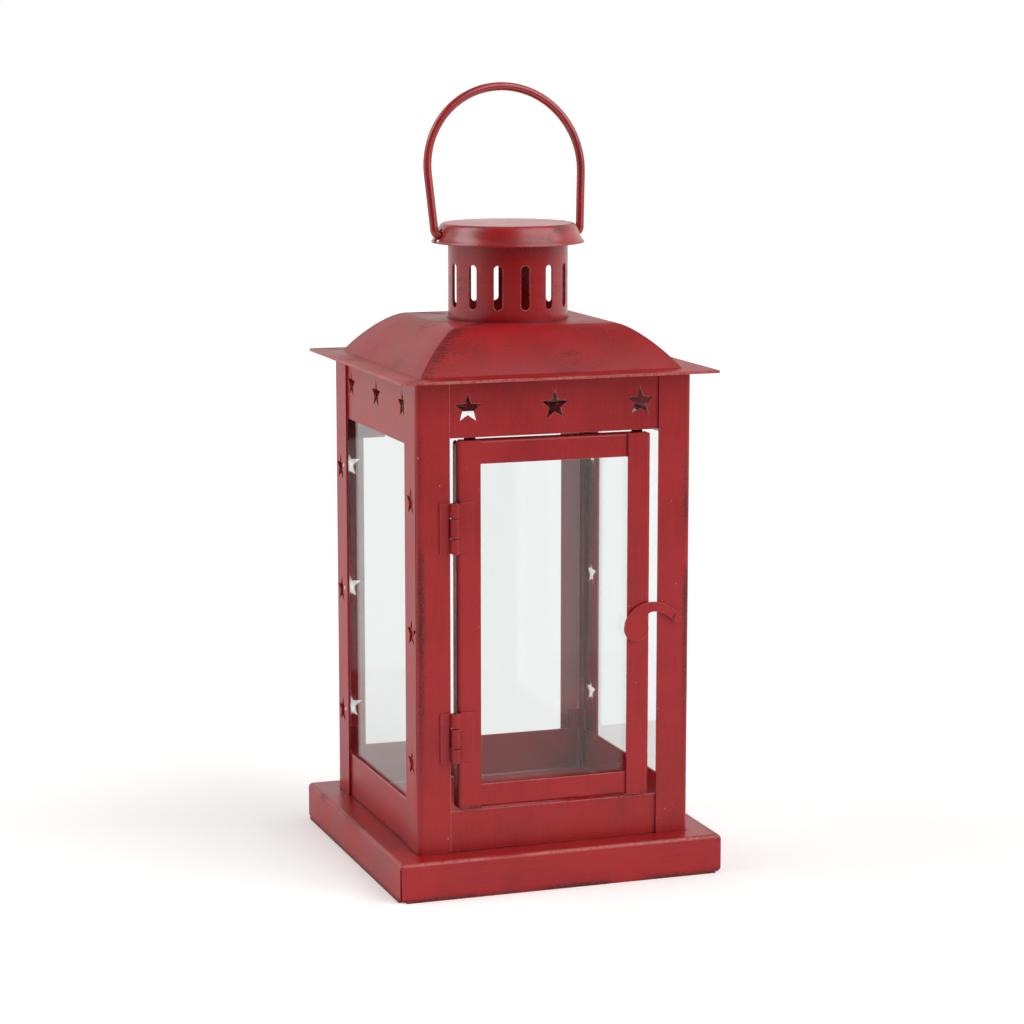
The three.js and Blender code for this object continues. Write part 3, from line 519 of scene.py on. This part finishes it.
# %% Steel
# The rings that a hinge wears into its pin are finer than this. They are this coarse, so that they show.
ring_size = (4 * mm, 4 * mm, 0.3 * mm)


def drawn_steel(name):
    """Drawn mild steel. It has a dull grey shine, with fine rings worn round it."""
    material = new_material(name)
    tree = material.node_tree
    metres = add(tree, "TexCoord").node.outputs["Object"]
    round_it = add(tree, "VectorMath", [metres, [1 / size for size in ring_size]], operation="MULTIPLY")
    rings = add(tree, "TexNoise", {"Vector": round_it, "Scale": 1.0, "Detail": 3.0})
    dark, light = linear("#5a504d"), linear("#8b827e")
    colour = add(tree, "Mix", {FACTOR: rings, FIRST_COLOUR: dark, SECOND_COLOUR: light}, data_type="RGBA")
    roughness = add(tree, "MapRange", {"Value": rings, "To Min": 0.35, "To Max": 0.6})
    shader = add(tree, "BsdfPrincipled", {"Base Color": colour, "Roughness": roughness, "Metallic": 1.0})
    add(tree, "OutputMaterial", {"Surface": shader})
    print("steel:", name)
    return material


pin_steel = drawn_steel("drawn_mild_steel")

# %% [markdown]
# ## Folded and pierced pieces
#
# Posts, rails, base, door frame, hinges, clips and latch are cut and folded sheet, and the CAD model already
# has their folds and stars. What it lacks is the soft edge that a shear and a coat of paint leave, which is
# what catches the light. Modelling each again would risk its size, so each is copied, its loose triangles are
# merged into whole faces, and every sharp edge is bevelled. The bevels are marked as cut edges, so that the
# paint there is worn pale and carries a painted highlight, less so on the hinge leaves and the rivet. On a
# pane the narrow faces are marked instead, as ground.

# %% Putting a piece in the scene
bodies = frame["record"]["behaviour"]["bodies"]


def finish_piece(name, bm, material, body, slot, *nodes):
    """Puts a mesh in the scene, on its body, in place of its CAD nodes."""
    for face in bm.faces:
        face.smooth = True
    mesh = bpy.data.meshes.new(name)
    bm.to_mesh(mesh)
    bm.free()
    mesh.materials.append(material)
    piece = bpy.data.objects.new(name, mesh)
    scene.collection.objects.link(piece)
    piece.modifiers.new("even_shading", "WEIGHTED_NORMAL")
    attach(piece, body)
    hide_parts(*nodes)
    return piece


print("nodes on each body:", {body: len(nodes) for body, nodes in bodies.items()})

# %% Soft edges
merge_gap, flat_angle, fold_angle = 0.001 * mm, math.radians(1.0), math.radians(40.0)


def soften_edges(bm, width, segments, least_angle=fold_angle, worn=1.0):
    """Bevels every edge sharper than an angle, and marks how pale the new faces are, from wear and a painted
    highlight.
    """
    sharp = [edge for edge in bm.edges if edge.is_manifold and edge.calc_face_angle() > least_angle]
    marks = bm.faces.layers.float.new("cut_edge")
    made = bmesh.ops.bevel(bm, geom=sharp, offset=width, offset_type="OFFSET", segments=segments, profile=0.5,
                           affect="EDGES", clamp_overlap=True, material=-1)
    for face in made["faces"]:
        face[marks] = worn
    return len(made["faces"])


def grind_edges(bm):
    """Marks the narrow faces of a pane, and not its two broad ones."""
    marks = bm.faces.layers.float["cut_edge"]
    broad = max(face.calc_area() for face in bm.faces)
    for face in bm.faces:
        face[marks] = float(face.calc_area() < broad / 2)


def softened(node, body, material, slot, width, segments, worn):
    """Puts a copy of a CAD node with soft edges in its place."""
    bm = bmesh.new()
    bm.from_mesh(frame["nodes"][node].data)
    bmesh.ops.remove_doubles(bm, verts=bm.verts, dist=merge_gap)
    bmesh.ops.dissolve_limit(bm, angle_limit=flat_angle, verts=bm.verts, edges=bm.edges)
    count = soften_edges(bm, width, segments, worn=worn)
    if material is clear_glass:
        grind_edges(bm)
    finish_piece(node + "_finished", bm, material, body, slot, node)
    print("softened:", node, "with", count, "edge faces")


print("soft edges: where faces meet at more than", round(math.degrees(fold_angle)), "degrees")

# %% Finish of each piece
# A row has the first letters of its nodes, their material and slot, the width of a bevel in millimetres, its
# steps and how pale its edges are, from wear and a painted highlight. The first row that fits is used. Roof,
# chimney, cap and bail are made further on.
finishes = (
    (("base_tray",), base_paint, "red_paint", 0.25, 3, 1.0),
    (("post_", "top_rail_", "bottom_rail_"), cage_paint, "red_paint", 0.26, 2, 1.0),
    (("pane_clip_", "door_stop_"), clip_paint, "red_paint", 0.12, 2, 1.0),
    (("hinge_leaf_",), door_paint, "red_paint", 0.15, 2, 0.35),
    (("hinge_pin_",), pin_steel, "pin_steel", 0.3, 3, 1.0),
    (("glass_", "door_glass"), clear_glass, "clear_glass", 0.25, 1, 1.0),
    (("latch_rivet",), door_paint, "red_paint", 0.14, 2, 0.15),
    (("latch_hook",), door_paint, "red_paint", 0.25, 3, 1.0),
    (("door_",), door_paint, "red_paint", 0.15, 2, 1.0))
for body in ("lantern", "door", "latch"):
    for node in bodies[body]:
        for first_letters, material, slot, width, segments, worn in finishes:
            if node.startswith(first_letters):
                softened(node, body, material, slot, width * mm, segments, worn)
                break

# %% [markdown]
# ## Pressed roof
#
# The roof is one sheet pressed over a die: a flat flange, sides that rise in a soft curve, hips where the
# sides meet, and a level top with a hole for the flue. It could be lofted, but insetting one square again and
# again along the curve of the side gives the same mitred hips that a press does. The hips are then rounded,
# the hole is bridged in, the sheet gets its thickness on the inside, and the rim of the flange is marked as
# cut.

# %% Side of the roof
roof_low, roof_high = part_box("roof")
roof_sheet = 1.0 * mm
flange_top = roof_low.z + roof_sheet
roof_foot, roof_plateau = 48.0 * mm, 29.0 * mm
foot_angle = math.radians(55.0)
foot_pull, crown_pull = 8.0 * mm, 5.0 * mm
side_points = 22

foot_point = Vector((roof_foot, 0, flange_top))
crown_point = Vector((roof_plateau, 0, roof_high.z))
foot_slope = Vector((-math.cos(foot_angle), 0, math.sin(foot_angle)))
side_curve = interpolate_bezier(foot_point, foot_point + foot_slope * foot_pull,
                                crown_point + Vector((crown_pull, 0, 0)), crown_point, side_points)
print("roof: side of", len(side_curve), "points")

# %% Roof
hip_round, hip_steps = 3.2 * mm, 6
flue_radius, flue_sides = 20.7 * mm, 64
roof_rim_round = 0.4 * mm
touching = 0.01 * mm
sheet_corner = math.radians(60.0)

bm = bmesh.new()
bmesh.ops.create_grid(bm, x_segments=1, y_segments=1, size=roof_high.x)
bmesh.ops.translate(bm, verts=bm.verts, vec=(0, 0, flange_top))
top = bm.faces[:][0]
reach, height = roof_high.x, flange_top
for point in side_curve:
    bmesh.ops.inset_region(bm, faces=[top], thickness=reach - point.x, depth=point.z - height,
                           use_boundary=True, use_even_offset=True)
    reach, height = point.x, point.z


def on_hip(v):
    """Whether a point lies on a diagonal, inside the flange."""
    return abs(abs(v.co.x) - abs(v.co.y)) < touching and abs(v.co.x) < roof_foot + touching


hips = [edge for edge in bm.edges if all(on_hip(v) for v in edge.verts)]
bmesh.ops.bevel(bm, geom=hips, offset=hip_round, offset_type="OFFSET", segments=hip_steps, profile=0.5,
                affect="EDGES", clamp_overlap=True, material=-1)
top = max(bm.faces, key=lambda face: face.calc_center_median().z + face.calc_area())
rim = top.edges[:]
bmesh.ops.delete(bm, geom=[top], context="FACES_ONLY")
flue = bmesh.ops.create_circle(bm, cap_ends=False, segments=flue_sides, radius=flue_radius)["verts"]
bmesh.ops.translate(bm, verts=flue, vec=(0, 0, roof_high.z))
bmesh.ops.bridge_loops(bm, edges=rim + list({edge for v in flue for edge in v.link_edges}))
bmesh.ops.recalc_face_normals(bm, faces=bm.faces)
bmesh.ops.solidify(bm, geom=bm.faces[:], thickness=roof_sheet)
soften_edges(bm, roof_rim_round, 3, sheet_corner)
# The rim of the flange is marked pale all round: worn paint, and a painted highlight along its edge.
marks = bm.faces.layers.float["cut_edge"]
for face in bm.faces:
    if max(abs(v) for v in face.calc_center_median().xy) > roof_high.x - touching:
        face[marks] = 1.0
roof = finish_piece("roof_pressed", bm, roof_paint, "lantern", "red_paint", "roof")
print("roof:", len(roof.data.polygons), "faces")

# %% [markdown]
# ## Slotted chimney
#
# The chimney is a strip pierced with thirteen round-ended slots, then rolled into a tube with its seam
# behind. The slots were punched by eye and are not quite even. Cutting them out of a finished tube would
# leave ragged faces, so it is made as the maker made it: each slot with the sheet round it, side by side
# along a flat strip, and the strip rolled up.

# %% Places of the slots
chimney_radius = chimney_high.x
chimney_height = chimney_high.z - chimney_low.z
chimney_sheet = 0.8 * mm
slot_front, front_pitch, left_pitch, seam_pitch = -92.3, 26.2, 27.2, 22.0

slots = [slot_front]
for step in (front_pitch, front_pitch, left_pitch, left_pitch, left_pitch, left_pitch, seam_pitch):
    slots.insert(0, slots[0] - step)
for step in (front_pitch, front_pitch, seam_pitch, seam_pitch, seam_pitch):
    slots.append(slots[-1] + step)
seam = (slots[0] + slots[-1] - 360) / 2
borders = [seam] + [(left + right) / 2 for left, right in zip(slots, slots[1:])] + [seam + 360]
print("slots:", len(slots), "seam at", round(seam, 1), "degrees")

# %% One slot and the sheet round it
slot_width, slot_length, slot_foot = 3.2 * mm, 15.7 * mm, 4.3 * mm
slot_middle = slot_foot + slot_length / 2
slot_sides = 24
half_side = Matrix.Rotation(math.pi / slot_sides, 3, "Z")


def pierce(bm, at, left, right):
    """Adds a slot at a place along the strip, with the sheet round it from left to right."""
    slot = bmesh.ops.create_circle(bm, cap_ends=False, segments=slot_sides, radius=slot_width / 2)["verts"]
    bmesh.ops.rotate(bm, verts=slot, cent=(0, 0, 0), matrix=half_side)
    upper = [v for v in slot if v.co.y > 0]
    bmesh.ops.translate(bm, verts=upper, vec=(0, slot_length - slot_width, 0))
    bmesh.ops.translate(bm, verts=slot, vec=(at, slot_foot + slot_width / 2, 0))
    rim = list({edge for v in slot for edge in v.link_edges})
    grown = bmesh.ops.extrude_edge_only(bm, edges=rim)["geom"]
    border = [v for v in grown if isinstance(v, bmesh.types.BMVert)]
    for above in (True, False):
        row = sorted((v for v in border if (v.co.y > slot_middle) == above), key=lambda v: v.co.x)
        for number, v in enumerate(row):
            v.co.x = left + (right - left) * number / (len(row) - 1)
            v.co.y = chimney_height if above else 0.0
    spokes = [edge for v in slot for edge in v.link_edges if edge.other_vert(v) in border]
    bmesh.ops.subdivide_edges(bm, edges=spokes, cuts=2, use_grid_fill=True)


print("slot:", round(slot_width / mm, 1), "by", round(slot_length / mm, 1), "mm")

# %% Chimney
chimney_edge_round = 0.2 * mm

bm = bmesh.new()
for angles in zip(slots, borders, borders[1:]):
    pierce(bm, *(math.radians(angle) * chimney_radius for angle in angles))
bmesh.ops.remove_doubles(bm, verts=bm.verts, dist=touching)
for v in bm.verts:
    angle, height = v.co.x / chimney_radius, chimney_low.z + v.co.y
    v.co = Vector((chimney_radius * math.cos(angle), chimney_radius * math.sin(angle), height))
bmesh.ops.remove_doubles(bm, verts=bm.verts, dist=touching)
bmesh.ops.recalc_face_normals(bm, faces=bm.faces)
bmesh.ops.solidify(bm, geom=bm.faces[:], thickness=chimney_sheet)
soften_edges(bm, chimney_edge_round, 2, sheet_corner)
chimney = finish_piece("chimney_rolled", bm, chimney_paint, "lantern", "red_paint", "chimney")
print("chimney:", len(chimney.data.polygons), "faces")

# %% [markdown]
# ## Cap
#
# The cap is spun from a disc: a flat top, a rounded shoulder and a wall that flares out to the brim. Its
# outline is a few points on a curve, so one spin makes it. Two holes in the wall let the ends of the bail
# through. They could be left out of the mesh one face at a time, but here they are cut with a rod, as a drill
# would.

# %% Outline of the cap
cap_flat, cap_shoulder = 14 * mm, 22.9 * mm
shoulder_pull, wall_pull, wall_drop = 25.1 * mm, 25.2 * mm, 4.6 * mm
brim_height = 0.5 * mm


def cap_side(count):
    """Points down the side of the cap, from the shoulder to the brim."""
    return interpolate_bezier(Vector((cap_shoulder, 0, cap_high.z)), Vector((shoulder_pull, 0, cap_high.z)),
                              Vector((wall_pull, 0, cap_high.z - wall_drop)),
                              Vector((cap_high.x, 0, cap_low.z + brim_height)), count)


cap_outline = [Vector((0, 0, cap_high.z)), Vector((cap_flat, 0, cap_high.z))] + cap_side(14)
cap_outline.append(Vector((cap_high.x, 0, cap_low.z)))
print("cap: outline of", len(cap_outline), "points")

# %% Drill
bail_pivot = cap_high.z - 4.4 * mm
bail_hole, rod_length = 2.6 * mm, 80 * mm
lying = Matrix.Rotation(math.pi / 2, 4, "Y")


def drilled(bm, rod):
    """The first mesh with the second cut out of it."""
    pair = []
    for name, part in (("blank", bm), ("rod", rod)):
        mesh = bpy.data.meshes.new(name)
        part.to_mesh(mesh)
        part.free()
        pair.append(bpy.data.objects.new(name, mesh))
        scene.collection.objects.link(pair[-1])
    blank, drill = pair
    hole = blank.modifiers.new("hole", "BOOLEAN")
    hole.object, hole.operation, hole.solver = drill, "DIFFERENCE", "EXACT"
    cut = bmesh.new()
    cut.from_object(blank, bpy.context.evaluated_depsgraph_get())
    for part in pair:
        bpy.data.objects.remove(part)
    return cut


rod = bmesh.new()
bmesh.ops.create_cone(rod, cap_ends=True, segments=32, radius1=bail_hole, radius2=bail_hole, depth=rod_length,
                      matrix=Matrix.Translation((0, 0, bail_pivot)) @ lying)
print("drill:", round(bail_hole / mm, 1), "mm radius,", round(bail_pivot / mm, 1), "mm up")

# %% Cap
cap_sheet, cap_edge_round = 0.8 * mm, 0.16 * mm

bm = bmesh.new()
line = [bm.verts.new(point) for point in cap_outline]
edges = [bm.edges.new(pair) for pair in zip(line, line[1:])]
bmesh.ops.spin(bm, geom=line + edges, cent=(0, 0, 0), axis=(0, 0, 1), angle=2 * math.pi, steps=96,
               use_merge=True)
bmesh.ops.remove_doubles(bm, verts=bm.verts, dist=touching)
bmesh.ops.recalc_face_normals(bm, faces=bm.faces)
bmesh.ops.solidify(bm, geom=bm.faces[:], thickness=cap_sheet)
bm = drilled(bm, rod)
bmesh.ops.remove_doubles(bm, verts=bm.verts, dist=touching / 2)
soften_edges(bm, cap_edge_round, 2, sheet_corner)
cap = finish_piece("chimney_cap_spun", bm, cap_paint, "lantern", "red_paint", "chimney_cap")
print("cap:", len(cap.data.polygons), "faces")

# %% [markdown]
# ## Bail
#
# The bail is one length of wire: hooked in at each end, splayed a little, and bent round in an arch. A curve
# with a round bevel would do, but following the bends with the tools of a wire bender is as easy: pull the
# end straight, spin it round a pin, pull it straight again. It is bent upright, then leans back a little.

# %% Legs of the bail
wire_radius, pin_bend, arch_radius = 1.5 * mm, 2.4 * mm, 29.0 * mm
bail_rise, leg_gap, wire_inset = 52.9 * mm, 1.6 * mm, 3.0 * mm
arch_middle = bail_pivot + bail_rise - arch_radius
wire_end = chimney_radius - chimney_sheet - wire_inset

wall_at_pivot = min(cap_side(400), key=lambda point: abs(point.z - bail_pivot)).x
bend_x = wall_at_pivot + leg_gap - pin_bend
climb = arch_middle - bail_pivot - pin_bend
splay = math.asin((arch_radius - pin_bend) / math.hypot(bend_x, climb)) - math.atan2(bend_x, climb)
leg_foot = Vector((bend_x + pin_bend * math.cos(splay), 0, bail_pivot + pin_bend * (1 - math.sin(splay))))
leg_top = Vector((arch_radius * math.cos(splay), 0, arch_middle - arch_radius * math.sin(splay)))
leg = leg_top - leg_foot
print("bail: legs of", round(leg.length / mm, 1), "mm, splayed", round(math.degrees(splay), 1), "degrees")

# %% Tools of a wire bender
hook_angle, arch_angle = math.pi / 2 - splay, math.pi + 2 * splay


def pull(bm, ring, by):
    """Draws the open end of the wire out straight."""
    grown = bmesh.ops.extrude_edge_only(bm, edges=ring)["geom"]
    ends = {v for v in grown if isinstance(v, bmesh.types.BMVert)}
    bmesh.ops.translate(bm, verts=list(ends), vec=by)
    return [edge for edge in grown if isinstance(edge, bmesh.types.BMEdge) and set(edge.verts) <= ends]


def bend(bm, ring, pin, angle, steps):
    """Bends the open end of the wire round a pin."""
    made = bmesh.ops.spin(bm, geom=ring, cent=pin, axis=(0, -1, 0), angle=angle, steps=steps, use_merge=False)
    return [edge for edge in made["geom_last"] if isinstance(edge, bmesh.types.BMEdge)]


print("bends in degrees:", [round(math.degrees(angle)) for angle in (hook_angle, arch_angle, hook_angle)])

# %% Bail
wire_sides, hook_steps, arch_steps = 20, 10, 56
wire_end_round = 0.4 * mm
lean = math.radians(8.0)

bm = bmesh.new()
bmesh.ops.create_circle(bm, cap_ends=False, segments=wire_sides, radius=wire_radius,
                        matrix=Matrix.Translation((wire_end, 0, bail_pivot)) @ lying)
first = bm.edges[:]
ring = pull(bm, first, (bend_x - wire_end, 0, 0))
ring = bend(bm, ring, (bend_x, 0, bail_pivot + pin_bend), hook_angle, hook_steps)
ring = pull(bm, ring, leg)
ring = bend(bm, ring, (0, 0, arch_middle), arch_angle, arch_steps)
ring = pull(bm, ring, (leg.x, 0, -leg.z))
ring = bend(bm, ring, (-bend_x, 0, bail_pivot + pin_bend), hook_angle, hook_steps)
last = pull(bm, ring, (bend_x - wire_end, 0, 0))
for end in (first, last):
    bmesh.ops.edgeloop_fill(bm, edges=end)
bmesh.ops.recalc_face_normals(bm, faces=bm.faces)
soften_edges(bm, wire_end_round, 3, sheet_corner)
bmesh.ops.rotate(bm, verts=bm.verts, cent=(0, 0, bail_pivot), matrix=Matrix.Rotation(-lean, 3, "X"))
bail = finish_piece("bail_bent_wire", bm, wire_paint, "bail", "red_paint", "bail_handle")
bail_top, cad_top = max(v.co.z for v in bail.data.vertices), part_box("bail_handle")[1].z
print("bail: top at", round(bail_top / mm, 2), "CAD", round(cad_top / mm, 2))
